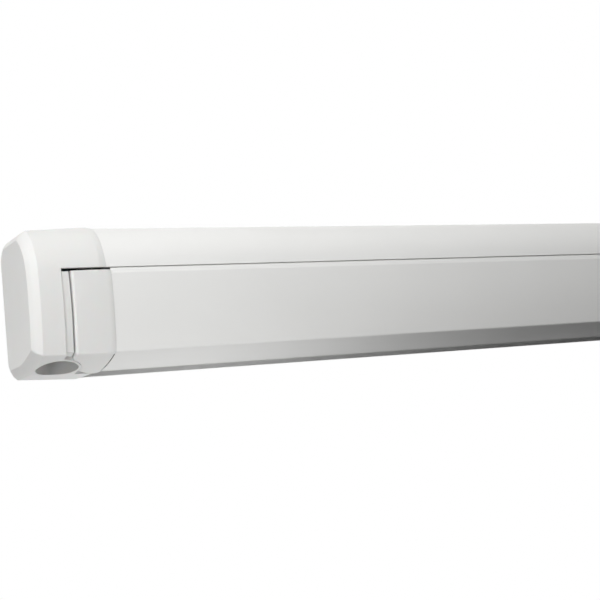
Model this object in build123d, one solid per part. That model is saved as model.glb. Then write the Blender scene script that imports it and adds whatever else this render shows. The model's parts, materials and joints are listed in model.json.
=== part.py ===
from build123d import *
import math
import os

# A roll-out awning in a wall-mounted case, modelled closed.
# X runs along the case, +Y points into the wall, +Z is up.
# The wall is the plane Y = 0. The origin is the middle of the four wall bolts.
# Section sizes are given as forward (distance in front of the wall) and height
# (distance above the underside of the case).

# Overall
awning_length = 1900.0
case_depth = 98.0
case_height = 126.0
bolt_rise = 1.0
overrun = 5.0
running_gap = 0.3
pin_clearance = 0.08
seat_gap = 0.1

# Section outline, as shares of case_depth and case_height
foot_share = (0.0, 0.0)
flange_share = (0.480, 0.011)
belly_share = (0.740, 0.054)
crease_share = (0.949, 0.111)
bow_share = (0.992, 0.437)
lip_share = (0.979, 0.690)
shoulder_share = (0.893, 0.861)
brow_share = (0.665, 1.0)
roof_share = (0.0, 1.0)
crease_round = 2.5

# Case extrusion
profile_wall = 2.0
case_lip_return = 7.0
rail_gap = 2.3
rail_lip_gap = 0.15
recess_depth = 8.0
recess_low = 28.0
recess_roof = 16.0
hook_rib_forward = 3.8
hook_rib_drop = 10.0
seal_thickness = 2.0
seal_height = 8.0
seal_top_inset = 3.0
boss_radius = 5.5
boss_bore = 2.1
boss_roof_forward = 16.0
boss_roof_drop = 7.4
boss_front_inset = 7.3
boss_back_forward = 14.0
boss_back_gap = 1.0

# End caps
case_cap_length = 67.0
lower_cap_length = 27.5
crank_bay = 8.4
rail_cap_length = 35.1
cap_wall = 2.6
cap_proud = 1.2
cap_draft = 2.0
cap_draft_room = 1.6
cap_seam_rise = 0.1
cap_seam_slope = 5.0
cap_rim = 8.0
cap_rim_swell = 0.7
cap_rim_steps = 4
cap_brow_rounds = (4.0, 12.0)
cap_roof_rounds = (4.0, 14.0)
cap_foot_rounds = (4.0, 8.0)
rail_cap_round = 2.5
bay_ledge_drop = 3.0
bay_ledge_wall = 2.2
bay_ledge_root = 4.0
bay_gap = 1.2
seam_gap = 1.4
seam_strip_inset = 0.4
cap_screw_radius = 2.0
cap_screw_length = 18.0
cap_screw_head = 3.0
cap_screw_head_height = 2.2

# Crank recess
crank_outset = 0.5
crank_mouth_radius = 18.2
crank_cup_wall = 1.8
crank_cup_gap = 0.5
crank_flare_radius = 26.4
crank_flare_level = 4.3
crank_flare_rise = 2.5
crank_cup_height = 34.0

# Bearing plates
plate_thickness = 6.0
plate_gap = 1.0
plate_front_gap = 2.0
plate_below = 26.0
plate_tail_gap = 5.0
plate_tail_floor = 32.0
plate_bridge_gap = 2.0

# Roller
roller_forward_share = 0.4592
roll_depth_room = 39.0
roll_height_room = 67.0
roll_floor = 56.5
roller_wall = 1.5
roller_end_gap = 4.0
plug_flange = 3.0
plug_depth = 30.0
journal_radius = 7.0
bush_radius = 10.0
bush_flange_radius = 12.5
bush_flange = 1.5
fabric_thickness = 0.5
fabric_turns = 9.0
fabric_margin = 8.0

# Crank gear
wheel_pitch_radius = 13.0
gear_reach = 19.0
wheel_teeth = 24
wheel_tooth_depth = 2.2
wheel_width = 12.0
worm_thread_depth = 1.3
worm_length = 26.0
mesh_gap = 0.1
worm_thread_width = 1.6
worm_pitch = 3.4
shaft_radius = 4.0
shaft_top_rise = 17.0
housing_wall = 3.0
housing_gap = 1.6
housing_half = 23.0
housing_front_gap = 1.5
eye_height = 30.0
eye_radius = 8.0
eye_bore = 4.6
eye_thickness = 5.0
eye_neck = 14.0

# Folding arms
elbow_inset = 50.0
arm_inset = 130.0
arm_pitch = 4.0
arm_width = 24.0
arm_height = 26.0
arm_wall = 2.0
arm_corner = 4.0
arm_gap = 2.5
arm_level = 38.0
knuckle_radius = 9.5
knuckle_height = 14.0
knuckle_slack = 0.3
knuckle_back_gap = 0.5
fork_radius = 10.0
fork_web_radius = 11.5
elbow_setback = 18.0
elbow_nose = 4.0
wrist_setback = 15.0
socket_depth = 28.0
arm_pin_radius = 4.5
pin_head_radius = 6.5
pin_head_height = 1.6
spring_radius = 8.0
spring_wire = 2.0
spring_length = 420.0
spring_inset = 60.0
spring_rod_radius = 2.5
bracket_base = 4.0
bracket_outboard = 42.0
bracket_inboard = 11.0
bracket_high = 56.0
bracket_bolt_radius = 3.0
bracket_bolt_head = 5.0
bracket_bolt_head_height = 3.4
bracket_bolt_spacing = 15.0
wrist_base_half = 22.0
wrist_base_low = 18.0

# Lead rail
rail_band_height = 5.2
rail_band_drop = 1.2
flange_lip_height = 9.0
flange_lip_wall = 2.0
rail_rib_low = 26.0
rail_rib_high = 56.0
rail_rib_wall = 2.0
rail_seat_depth = 10.0
rail_floor_rib_gap = 3.0
rail_seal_width = 2.0
rail_seal_grip = 3.0
rail_seal_rise = 0.5
rail_boss_radius = 3.4
rail_screw_head = 2.6
rail_boss_rise = 3.5
rail_cap_flange = 3.0
rail_cap_flange_depth = 14.0
keder_depth = 9.5
keder_drop = 9.44
keder_channel_radius = 5.0
keder_bore_radius = 3.4
keder_radius = 3.0
keder_slot = 2.0

# Fabric between the roll and the rail
hem_length = 3.0
hem_height = 1.2
span_overlap = 0.3

# Wall brackets
bracket_length = 90.0
bracket_plate = 3.5
bracket_hook = 2.0
bracket_hook_rise = 7.0
wall_bolt_radius = 3.5
wall_bolt_inset = 11.0
wall_bracket_inset = 250.0
bracket_tab = 3.5
lock_screw_radius = 2.5
lock_screw_head = 3.3
lock_screw_head_height = 2.6
lock_screw_forward = 5.6

# Support legs
leg_inset = 85.0
leg_pivot_height = 12.5
leg_tube_height = 16.0
leg_tube_wall = 1.4
leg_lane_gap = 1.5
leg_lane_room = 8.04
leg_wall_gap = 5.25
leg_knuckle_radius = 7.6
leg_knuckle_gap = 0.9
leg_knuckle_setback = 13.0
leg_pin_radius = 3.0
leg_cheek = 2.6
leg_cheek_radius = 7.0
leg_plate = 1.6
leg_plate_height = 21.8
leg_bracket_half = 12.0
leg_bracket_foot_length = 18.0
leg_inner_wall = 1.4
leg_inner_room = 40.0
leg_inner_out = 34.0
leg_slide_gap = 0.3
collar_length = 38.0
collar_wall = 1.0
collar_grip = 22.0
collar_ear_height = 3.4
collar_ear_width = 2.6
collar_ear_length = 8.0
lever_length = 44.0
lever_thickness = 2.8
lever_pin_radius = 1.2
foot_pivot_out = 12.0
foot_radius = 5.0
foot_length = 62.0
foot_thickness = 4.0
foot_fork_width = 2.6
foot_pin_radius = 2.0
foot_hole_radius = 3.0
foot_hole_spacing = 26.0
foot_hole_inset = 20.0

# Worked out
half_length = awning_length / 2
bolt_height = case_height / 2 + bolt_rise
flange_forward = flange_share[0] * case_depth
recess_high = case_height - recess_roof
case_end = half_length - case_cap_length
rail_end = half_length - lower_cap_length - crank_bay - rail_cap_length
rail_cap_start = half_length - lower_cap_length - crank_bay
lip_height = lip_share[1] * case_height
rail_top = lip_height - rail_gap
rail_lip_top = lip_height - rail_lip_gap
roll_radius = min(case_depth - roll_depth_room, case_height - roll_height_room) / 2
roller_radius = roll_radius - fabric_thickness * fabric_turns
roller_forward = roller_forward_share * case_depth
roller_height = roll_floor + roll_radius
crank_forward = roller_forward + gear_reach
shaft_top_height = roller_height + shaft_top_rise
worm_radius = gear_reach - wheel_pitch_radius - mesh_gap
rail_cap_side_forward = crank_forward + worm_radius + housing_gap + housing_wall + housing_front_gap
plate_reach = rail_cap_side_forward - plate_front_gap
plate_floor = roller_height - plate_below
plate_tail_forward = flange_forward - plate_tail_gap
plate_bridge_height = lip_height + plate_bridge_gap
arm_x = half_length - arm_inset
arm_forward = recess_depth + profile_wall + bracket_base + knuckle_radius + knuckle_back_gap
arm_step = arm_width + arm_gap
arm_offset = arm_step / 2
arm_reach = math.hypot(arm_x - elbow_inset, arm_offset)
crank_x = half_length - lower_cap_length + crank_outset
roller_half = case_end - roller_end_gap
leg_x = half_length - leg_inset
leg_tube_length = leg_x - leg_knuckle_setback
leg_inner_inside = leg_tube_length - leg_inner_room
leg_lane_pitch = (flange_forward - leg_lane_room) / 2
leg_tube_width = leg_lane_pitch - leg_lane_gap
leg_rear_lane = leg_wall_gap + leg_lane_pitch / 2
leg_front_lane = leg_rear_lane + leg_lane_pitch
leg_knuckle_width = leg_tube_width - 2 * leg_cheek - 2 * leg_knuckle_gap
rail_seat_forward = case_depth - rail_seat_depth
rail_floor_rib_forward = flange_forward + flange_lip_wall + leg_bracket_foot_length + rail_floor_rib_gap
rail_cap_flange_forward = case_depth - rail_cap_flange_depth
keder_forward = case_depth - keder_depth
keder_height = lip_height - keder_drop
wall_bolt_spread = 2 * (bolt_height - recess_low - wall_bolt_inset)
wall_bracket_span = awning_length - 2 * wall_bracket_inset
hem_forward = keder_forward - keder_channel_radius - running_gap


def at(forward, height):
    """A point of the section in the sketch plane."""
    return (-forward, height - bolt_height)


def spot(share):
    """A point of the outline from its shares."""
    return at(share[0] * case_depth, share[1] * case_height)


def along(sketch, start, end):
    """Extrude a section sketch along X."""
    return extrude(Plane.YZ.offset(start) * sketch, amount=end - start)


def patch(forward_a, forward_b, height_a, height_b):
    """A rectangle in the section."""
    middle = at((forward_a + forward_b) / 2, (height_a + height_b) / 2)
    return Pos(*middle) * Rectangle(abs(forward_b - forward_a), abs(height_b - height_a))


def block(x_a, x_b, forward_a, forward_b, height_a, height_b):
    """A box in section terms."""
    return along(patch(forward_a, forward_b, height_a, height_b), min(x_a, x_b), max(x_a, x_b))


def disc(forward, height, radius):
    """A circle in the section."""
    return Pos(*at(forward, height)) * Circle(radius)


def rod_x(x_a, x_b, forward, height, radius):
    """A round bar along X."""
    return along(disc(forward, height, radius), min(x_a, x_b), max(x_a, x_b))


def rod_y(x, height, forward_a, forward_b, radius):
    """A round bar across the case, along Y."""
    bar = Cylinder(radius, abs(forward_b - forward_a), rotation=(90, 0, 0))
    return Pos(x, -(forward_a + forward_b) / 2, height - bolt_height) * bar


def rod_z(x, forward, height_a, height_b, radius):
    """An upright round bar."""
    bar = Cylinder(radius, abs(height_b - height_a))
    return Pos(x, -forward, (height_a + height_b) / 2 - bolt_height) * bar


def twin(shape):
    """The same piece at the other end of the awning."""
    return mirror(shape, Plane.YZ)


def straight(start, end, inset):
    """A straight side of the section, moved inwards: a point on it and its direction."""
    run = Vector(*end) - Vector(*start)
    across = run.normalized()
    return (Vector(*start) + Vector(-across.Y, across.X) * inset, across)


def curved(start, middle, end, inset):
    """A curved side of the section, moved inwards: its centre and radius."""
    arc = ThreePointArc(start, middle, end)
    return (arc.arc_center, arc.radius - inset)


def line_points(line, circle):
    """Where a straight side meets a curved one."""
    point, across = line
    centre, radius = circle
    foot = point + across * (centre - point).dot(across)
    reach = math.sqrt(radius**2 - (centre - foot).length**2)
    return [foot + across * reach, foot - across * reach]


def circle_points(first, second):
    """Where two curved sides meet."""
    between = second[0] - first[0]
    span = between.length
    reach = (span**2 + first[1]**2 - second[1]**2) / (2 * span)
    rise = math.sqrt(first[1]**2 - reach**2)
    across = between.normalized()
    foot = first[0] + across * reach
    side = Vector(-across.Y, across.X) * rise
    return [foot + side, foot - side]


def line_meeting(first, second):
    """Where two straight sides meet."""
    gap = second[0] - first[0]
    turn = first[1].X * second[1].Y - first[1].Y * second[1].X
    reach = (gap.X * second[1].Y - gap.Y * second[1].X) / turn
    return first[0] + first[1] * reach


def nearest(points, place):
    """The point that lies nearest to a place."""
    return min(points, key=lambda point: (point - Vector(*place)).length)


def bend(circle, start, end):
    """The arc of a curved side between two points."""
    middle = ((start + end) / 2 - circle[0]).normalized() * circle[1] + circle[0]
    return ThreePointArc(start, middle, end)


def front_at(height, inset):
    """How far the front of the lead rail stands before the wall at a height, less an inset."""
    centre, radius = curved(spot(crease_share), spot(bow_share), spot(lip_share), inset)
    level = height - bolt_height - centre.Y
    return math.sqrt(radius**2 - level**2) - centre.X


def outline(inset=0.0, corner_rounds=()):
    """The whole closed section, moved inwards by inset: cover, lead rail, underside and wall side."""
    brow, roof, foot = spot(brow_share), spot(roof_share), spot(foot_share)
    flange, crease, lip = spot(flange_share), spot(crease_share), spot(lip_share)
    top = straight(brow, roof, -inset)
    back = straight(roof, foot, -inset)
    floor = straight(foot, flange, -inset)
    belly = curved(flange, spot(belly_share), crease, inset)
    front = curved(crease, spot(bow_share), lip, inset)
    cover = curved(lip, spot(shoulder_share), brow, inset)
    brow_point = nearest(line_points(top, cover), brow)
    roof_point = line_meeting(top, back)
    foot_point = line_meeting(back, floor)
    flange_point = nearest(line_points(floor, belly), flange)
    crease_point = nearest(circle_points(belly, front), crease)
    lip_point = nearest(circle_points(front, cover), lip)
    edges = Polyline(brow_point, roof_point, foot_point, flange_point)
    edges += bend(belly, flange_point, crease_point)
    edges += bend(front, crease_point, lip_point)
    edges += bend(cover, lip_point, brow_point)
    face = make_face(edges)
    corners = (crease_point, brow_point, roof_point, foot_point)
    for place, radius in zip(corners, corner_rounds or (crease_round - inset,)):
        if radius > 0:
            face = fillet(face.vertices().sort_by_distance(place)[0], radius)
    return face


def skin(wall):
    """The outer band of the section, one wall thick."""
    return outline() - outline(wall)


def boss_places():
    """Screw bosses of the case: below the roof, behind the cover and at the back."""
    shoulder = Vector(*spot(shoulder_share))
    centre, radius = curved(spot(lip_share), spot(shoulder_share), spot(brow_share), boss_front_inset)
    front = centre + (shoulder - centre).normalized() * radius
    return ((boss_roof_forward, case_height - boss_roof_drop), (-front.X, front.Y + bolt_height),
            (boss_back_forward, bracket_high + boss_radius + boss_back_gap))


def case_profile():
    """The cover and back of the case in one extrusion, open to the front and below."""
    top = case_height + overrun
    band = skin(profile_wall)
    cover = band & patch(seal_thickness, case_depth + overrun, lip_height, top)
    cover -= patch(0, boss_radius, lip_height, case_height - profile_wall)
    wall = seal_thickness + profile_wall
    recess_front = recess_depth + profile_wall
    section = cover + patch(seal_thickness, wall, recess_high, case_height)
    section += patch(seal_thickness, recess_front, recess_high, recess_high + profile_wall)
    section += patch(recess_depth, recess_front, recess_low - profile_wall, recess_high + profile_wall)
    section += patch(0, recess_front, recess_low - profile_wall, recess_low)
    section += patch(0, profile_wall, 0, recess_low) & outline()
    hook_back = hook_rib_forward + profile_wall
    section += patch(hook_rib_forward, hook_back, recess_high - hook_rib_drop, recess_high)
    lip_forward = lip_share[0] * case_depth
    section += patch(lip_forward - case_lip_return, lip_forward - profile_wall / 2,
                     lip_height, lip_height + profile_wall)
    inner = outline(profile_wall / 2)
    for place in boss_places():
        section += disc(*place, boss_radius) & inner
        section -= disc(*place, boss_bore)
    body = along(section, -case_end, case_end)
    for bracket_x in (-wall_bracket_span / 2, wall_bracket_span / 2):
        body -= rod_z(bracket_x, lock_screw_forward, recess_low - profile_wall - overrun,
                      recess_low + overrun, lock_screw_radius + pin_clearance)
    for side in (-1, 1):
        for screw_x in bracket_bolt_places():
            body -= rod_y(side * (arm_x + screw_x), arm_level + knuckle_height / 2 + bracket_bolt_head,
                          recess_depth - overrun, recess_front + overrun,
                          bracket_bolt_radius + pin_clearance)
    return body


def bracket_bolt_places():
    """Bolt positions of an arm bracket, outboard of the pivot."""
    first = bracket_outboard - bracket_bolt_head - bracket_base / 2
    return (first, first - bracket_bolt_spacing)


def wall_seal():
    """Rubber strip between the top of the case and the wall."""
    high = case_height - seal_top_inset
    return block(-case_end, case_end, 0, seal_thickness, high - seal_height, high)


def lead_zone(x_a, x_b, side_gap):
    """The room that the lead rail and its caps take up, as a block."""
    start = flange_forward - side_gap
    return block(x_a, x_b, start, case_depth + overrun, -overrun, lip_height - rail_gap + side_gap)


def cap_section(x, grow, share):
    """The cap outline at one place along X, larger by grow, with its corners rounder further out."""
    ends = (cap_brow_rounds, cap_roof_rounds, cap_foot_rounds)
    rounds = [near + (far - near) * share for near, far in ends]
    return (Plane.YZ.offset(x) * outline(-grow, [crease_round] + rounds)).faces()[0]


def drafted_body(inner, outer, rim):
    """A block of the section between two distances from the middle, narrower outwards, with a rim."""
    sections = [cap_section(-inner, cap_seam_rise, 0), cap_section(-inner - cap_seam_slope, cap_proud, 0)]
    for back, drop in rim:
        reach = outer - back - inner
        grow = cap_proud - math.tan(math.radians(cap_draft)) * reach - drop
        sections.append(cap_section(-outer + back, grow, reach / (outer - inner)))
    return loft(sections, ruled=True)


def bevel_rim():
    """Steps of the slightly swollen bevel round the end: distance from the end and drop."""
    steps = []
    for step in range(cap_rim_steps + 1):
        share = step / cap_rim_steps
        swell = cap_rim_swell * math.sin(math.pi * share)
        steps.append((cap_rim * (1 - share) - swell, cap_rim * share - swell))
    return steps


def round_rim(radius):
    """Steps of a plain round edge: distance from the end and drop."""
    turns = [math.radians(90 * step / cap_rim_steps) for step in range(cap_rim_steps + 1)]
    return [(radius * (1 - math.sin(turn)), radius * (1 - math.cos(turn))) for turn in turns]


def crank_cup(grow):
    """The round cup of the crank with its filled rear side, as a block, larger by grow."""
    radius = crank_mouth_radius + crank_cup_wall + grow
    high = crank_cup_height + grow
    cup = rod_z(-crank_x, crank_forward, -overrun, high, radius)
    rear = flange_forward - grow - seat_gap
    return cup + block(-crank_x, -crank_x + radius, rear, crank_forward, -overrun, high)


def crank_mouth():
    """The round way in for the crank."""
    return rod_z(-crank_x, crank_forward, -overrun, crank_cup_height + overrun, crank_mouth_radius)


def crank_flare():
    """Shallow cone round the cup, in the underside of the rail cap."""
    inner = crank_mouth_radius + crank_cup_wall
    slope = (crank_flare_radius - inner) / crank_flare_rise
    low, high = crank_flare_level - overrun, crank_flare_level + crank_flare_rise
    cone = Cone(crank_flare_radius + slope * overrun, inner, high - low)
    return Pos(-crank_x, -crank_forward, (low + high) / 2 - bolt_height) * cone


def bay_ledge():
    """Sunken strip that closes the bay between the two caps, fixed to the case cap."""
    drop = bay_ledge_drop
    band = outline(drop) - outline(drop + bay_ledge_wall)
    lower_end = -half_length + lower_cap_length
    strip = along(band, lower_end - bay_ledge_root, -rail_cap_start - bay_gap)
    return strip & block(lower_end - bay_ledge_root, -rail_cap_start, flange_forward,
                         case_depth + overrun, -overrun, rail_top)


def case_end_cap():
    """Moulded end cap of the case: closed end, deep lower part, upper part over the rail cap."""
    solid = drafted_body(case_end, half_length, bevel_rim())
    rim_end = -half_length + cap_rim
    body = solid - along(outline(cap_wall + cap_draft_room), rim_end, -case_end + overrun)
    body -= along(outline(cap_rim + cap_wall + cap_draft_room), -half_length + cap_wall, rim_end)
    body -= block(-half_length + lower_cap_length, -case_end + overrun,
                  flange_forward - seat_gap, case_depth + overrun,
                  -overrun, lip_height)
    return (body + (crank_cup(0) & solid) + bay_ledge()) - crank_mouth()


def seam_room():
    """Open seam in the underside between the rail cap and the rail, as a block."""
    return block(-rail_end - seam_gap, -rail_end, 0, case_depth + overrun, -overrun,
                 crease_share[1] * case_height - crease_round / 2)


def rail_end_cap():
    """End cap of the lead rail, cut out round the crank cup."""
    solid = drafted_body(rail_end, rail_cap_start, round_rim(rail_cap_round))
    room = along(outline(cap_wall), -rail_cap_start - overrun, -rail_end + overrun)
    walls = block(-rail_cap_start, -rail_cap_start + cap_wall, rail_cap_side_forward,
                  case_depth + overrun, -overrun, rail_top)
    walls += block(-rail_cap_start, -rail_end, rail_cap_side_forward + cap_wall,
                   lip_share[0] * case_depth - cap_wall / 2, rail_top - cap_wall, rail_top)
    walls += rod_z(-crank_x, crank_forward, -overrun, crank_flare_level + crank_flare_rise + cap_wall,
                   crank_flare_radius + crank_cup_wall)
    flange = patch(rail_cap_flange_forward, case_depth, rail_rib_low, rail_rib_high) & outline(cap_wall / 2)
    for place in rail_boss_places():
        flange -= disc(*place, cap_screw_radius + pin_clearance)
    cap = (solid - room) + (walls & solid)
    cap += along(flange, -rail_end - rail_cap_flange, -rail_end)
    cap &= lead_zone(-rail_cap_start, -rail_end, 0)
    cap -= seam_room()
    return cap - crank_cup(crank_cup_gap) - crank_flare()


def bearing_plate():
    """Cast plate that closes the case end and carries the roller."""
    face = outline(cap_wall + cap_draft_room + plate_gap)
    back = patch(0, plate_reach, plate_floor, case_height)
    tail = patch(0, plate_tail_forward, plate_tail_floor, case_height)
    bridge = patch(0, case_depth, plate_bridge_height, case_height)
    face &= back + tail + bridge
    plate = along(face, -case_end - plate_thickness, -case_end)
    plate -= rod_x(-case_end - plate_thickness - overrun, -case_end + overrun,
                   roller_forward, roller_height, bush_radius + seat_gap)
    for place in boss_places():
        plate -= rod_x(-case_end - plate_thickness - overrun, -case_end + overrun,
                       *place, cap_screw_radius + pin_clearance)
    return plate


def cap_screws():
    """Screws through the bearing plates into the case bosses."""
    screws = []
    start = -case_end - plate_thickness
    for place in boss_places():
        shank = rod_x(start, start + cap_screw_length, *place, cap_screw_radius)
        head = rod_x(start - cap_screw_head_height, start, *place, cap_screw_head)
        screw = shank + head
        screws += [screw, twin(screw)]
    return Compound(screws)


def roller_bushes():
    """Plain bushes for the roller journals."""
    start = -case_end - plate_thickness
    bush = rod_x(start, -case_end, roller_forward, roller_height, bush_radius)
    bush += rod_x(-case_end, -case_end + bush_flange, roller_forward, roller_height,
                  bush_flange_radius)
    bush -= rod_x(start - overrun, -case_end + overrun, roller_forward, roller_height,
                  journal_radius + pin_clearance)
    return Compound([bush, twin(bush)])


def roller_tube():
    """Steel tube that the fabric is wound on."""
    tube = rod_x(-roller_half, roller_half, roller_forward, roller_height, roller_radius)
    return tube - rod_x(-roller_half - overrun, roller_half + overrun, roller_forward,
                        roller_height, roller_radius - roller_wall)


def roller_plug():
    """Plug in the roller end, with the journal that runs in the bush."""
    inner = roller_radius - roller_wall
    plug = rod_x(-roller_half, -roller_half + plug_depth, roller_forward, roller_height, inner)
    collar = -case_end + bush_flange + running_gap
    plug += rod_x(collar, -roller_half, roller_forward, roller_height, bush_flange_radius)
    end = -crank_x - wheel_width / 2 - plug_flange
    plug += rod_x(end, -roller_half, roller_forward, roller_height, journal_radius)
    return plug


def right_plug():
    """The far plug, whose journal ends just outside its bush."""
    plug = twin(roller_plug())
    keep = block(0, case_end + plate_thickness + plug_flange, 0, case_depth, 0, case_height)
    return plug & keep


def fabric_roll():
    """The fabric that is wound on the roller."""
    reach = roller_half - fabric_margin
    roll = rod_x(-reach, reach, roller_forward, roller_height, roll_radius)
    return roll - rod_x(-reach - overrun, reach + overrun, roller_forward, roller_height,
                        roller_radius)


def worm_wheel():
    """Gear wheel on the roller journal."""
    root = wheel_pitch_radius - wheel_tooth_depth
    face = disc(roller_forward, roller_height, wheel_pitch_radius)
    gap_width = math.pi * wheel_pitch_radius / wheel_teeth
    for number in range(wheel_teeth):
        notch = Pos(root + wheel_tooth_depth, 0) * Rectangle(2 * wheel_tooth_depth, gap_width)
        face -= Pos(*at(roller_forward, roller_height)) * Rot(0, 0, 360 * number / wheel_teeth) * notch
    face -= disc(roller_forward, roller_height, journal_radius)
    return along(face, -crank_x - wheel_width / 2, -crank_x + wheel_width / 2)


def worm_shaft():
    """Upright crank shaft with the worm that drives the wheel."""
    middle = roller_height
    shaft = rod_z(-crank_x, crank_forward, eye_height + eye_radius, shaft_top_height, shaft_radius)
    shaft += rod_z(-crank_x, crank_forward, middle - worm_length / 2, middle + worm_length / 2,
                   worm_radius - worm_thread_depth)
    rings = int(worm_length / worm_pitch) - 1
    low = middle - worm_pitch * (rings - 1) / 2
    for number in range(rings):
        level = low + number * worm_pitch
        shaft += rod_z(-crank_x, crank_forward, level - worm_thread_width / 2,
                       level + worm_thread_width / 2, worm_radius)
    return shaft


def crank_eye():
    """Eye at the foot of the worm shaft, where the crank hooks in."""
    turned = Pos(-crank_x, -crank_forward, eye_height - bolt_height)
    ring = Cylinder(eye_radius, eye_thickness, rotation=(0, 90, 0))
    neck = Pos(0, 0, (eye_radius + eye_neck) / 2) * Cylinder(shaft_radius + housing_gap,
                                                              eye_neck - eye_radius + eye_thickness)
    body = turned * (ring + neck)
    body -= turned * Cylinder(eye_bore, eye_radius * 2, rotation=(0, 90, 0))
    return body - worm_shaft()


def gear_housing():
    """Closed box round the worm and wheel, bolted to the left bearing plate."""
    inner_end = -case_end - plate_thickness
    outer_end = -crank_x - wheel_width / 2 - plug_flange - housing_gap - housing_wall
    wheel_room = wheel_pitch_radius + housing_gap
    worm_room = worm_radius + housing_gap
    back = roller_forward - wheel_room
    front = crank_forward + worm_room
    low = roller_height - housing_half + housing_wall
    high = roller_height + housing_half - 2 * housing_wall
    box = block(outer_end, inner_end, back - housing_wall, front + housing_wall,
                low - housing_wall, high + housing_wall)
    box -= block(outer_end + housing_wall, inner_end - housing_wall, back, front, low, high)
    box -= rod_x(inner_end - housing_wall - overrun, inner_end + overrun, roller_forward,
                 roller_height, journal_radius + housing_gap)
    for place in boss_places():
        box -= rod_x(outer_end - overrun, inner_end + overrun, *place, cap_screw_head + running_gap)
    shaft_room = shaft_radius + pin_clearance
    box -= rod_z(-crank_x, crank_forward, low - housing_wall - overrun, low + overrun, shaft_room)
    box -= rod_z(-crank_x, crank_forward, high - overrun, high + housing_wall + overrun, shaft_room)
    return box


def arm_place():
    """Frame of the left arm: origin on the shoulder pivot, tilted so the rail drops as it opens."""
    return Pos(-arm_x, -arm_forward, arm_level - bolt_height) * Rot(arm_pitch, 0, 0)


def plate_of(sketch, low, high):
    """A flat plate between two levels of the arm frame."""
    return extrude(Pos(0, 0, low) * sketch, amount=high - low)


def upright(x, y, low, high, radius):
    """A round bar square to the arm plane."""
    return Pos(x, y, (low + high) / 2) * Cylinder(radius, high - low)


def arm_tube(x_a, x_b, y):
    """One hollow arm tube along X."""
    outer = RectangleRounded(arm_width, arm_height, arm_corner)
    inner = RectangleRounded(arm_width - 2 * arm_wall, arm_height - 2 * arm_wall, arm_corner - arm_wall)
    return extrude(Plane.YZ.offset(x_a) * Pos(y, 0) * (outer - inner), amount=x_b - x_a)


def arm_socket(x_a, x_b, y):
    """The part of a casting that sits inside the tube."""
    width = arm_width - 2 * arm_wall - 2 * seat_gap
    height = arm_height - 2 * arm_wall - 2 * seat_gap
    face = RectangleRounded(width, height, arm_corner - arm_wall)
    return extrude(Plane.YZ.offset(x_a) * Pos(y, 0) * face, amount=x_b - x_a)


def elbow_x():
    """Elbow pivot along X in the arm frame."""
    return math.sqrt(arm_reach**2 - arm_offset**2)


def elbow_sketch(side, radius):
    """Plan of an elbow casting. side is 1 for the upper arm and -1 for the forearm."""
    pivot = (elbow_x(), -arm_offset)
    end = elbow_x() - elbow_setback
    near = -arm_offset + side * (arm_offset - arm_width / 2)
    far = -arm_offset + side * (arm_offset + arm_width / 2)
    touch = math.sqrt(radius**2 - elbow_nose**2)
    nose = (pivot[0] + elbow_nose, pivot[1] + side * touch)
    wedge = make_face(Polyline((end, near), (end, far), nose, pivot, close=True))
    return wedge + Pos(*pivot) * Circle(radius)


def upper_arm_tube():
    """Tube from the shoulder to the elbow."""
    return arm_tube(wrist_setback, elbow_x() - elbow_setback, 0)


def forearm_tube():
    """Tube from the elbow to the wrist."""
    return arm_tube(wrist_setback, elbow_x() - elbow_setback, -arm_step)


def arm_knuckle(y):
    """Casting at the shoulder or wrist: a tongue with the pin bore."""
    half = knuckle_height / 2
    body = upright(0, y, -half, half, knuckle_radius)
    neck = Pos(wrist_setback / 2, y) * Rectangle(wrist_setback, 2 * knuckle_radius)
    body += plate_of(neck, -half, half)
    body += arm_socket(wrist_setback, wrist_setback + socket_depth, y)
    return body - upright(0, y, -arm_height, arm_height, arm_pin_radius + pin_clearance)


def elbow_fork():
    """Casting at the end of the upper arm, with a plate above and below the forearm tongue."""
    half = arm_height / 2
    slot = knuckle_height / 2 + knuckle_slack
    body = plate_of(elbow_sketch(1, fork_radius), -half, half)
    tongue_room = Pos(elbow_x(), -arm_offset) * Circle(fork_web_radius)
    body -= plate_of(tongue_room, -slot, slot)
    end = elbow_x() - elbow_setback
    body += arm_socket(end - socket_depth, end, 0)
    return body - upright(elbow_x(), -arm_offset, -arm_height, arm_height, arm_pin_radius)


def elbow_tongue():
    """Casting at the end of the forearm that turns in the elbow fork."""
    half = knuckle_height / 2
    body = plate_of(elbow_sketch(-1, knuckle_radius), -half, half)
    end = elbow_x() - elbow_setback
    body += arm_socket(end - socket_depth, end, -arm_step)
    return body - upright(elbow_x(), -arm_offset, -arm_height, arm_height,
                          arm_pin_radius + pin_clearance)


def pin(x, y):
    """A headed pivot pin through a fork."""
    half = arm_height / 2
    body = upright(x, y, -half, half, arm_pin_radius)
    body += upright(x, y, half, half + pin_head_height, pin_head_radius)
    return body + upright(x, y, -half - pin_head_height, -half, pin_head_radius)


def arm_spring():
    """Tension spring and pull rod inside the upper arm, as a plain sleeve round a rod."""
    start = wrist_setback + spring_inset
    coil = rod_local(start, start + spring_length, spring_radius)
    coil -= rod_local(start - overrun, start + spring_length + overrun, spring_radius - spring_wire)
    hook = rod_local(start + spring_length - spring_wire, start + spring_length,
                     spring_radius - spring_wire / 2)
    anchor = rod_local(start, start + spring_wire, spring_radius - spring_wire / 2)
    rod = rod_local(start + spring_length, elbow_x() - elbow_setback - socket_depth, spring_rod_radius)
    tail = rod_local(wrist_setback + socket_depth, start, spring_rod_radius)
    return coil + hook + anchor + rod + tail


def rod_local(x_a, x_b, radius):
    """A round bar along X on the upper arm's centre line."""
    return Pos((x_a + x_b) / 2, 0, 0) * Cylinder(radius, x_b - x_a, rotation=(0, 90, 0))


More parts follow.
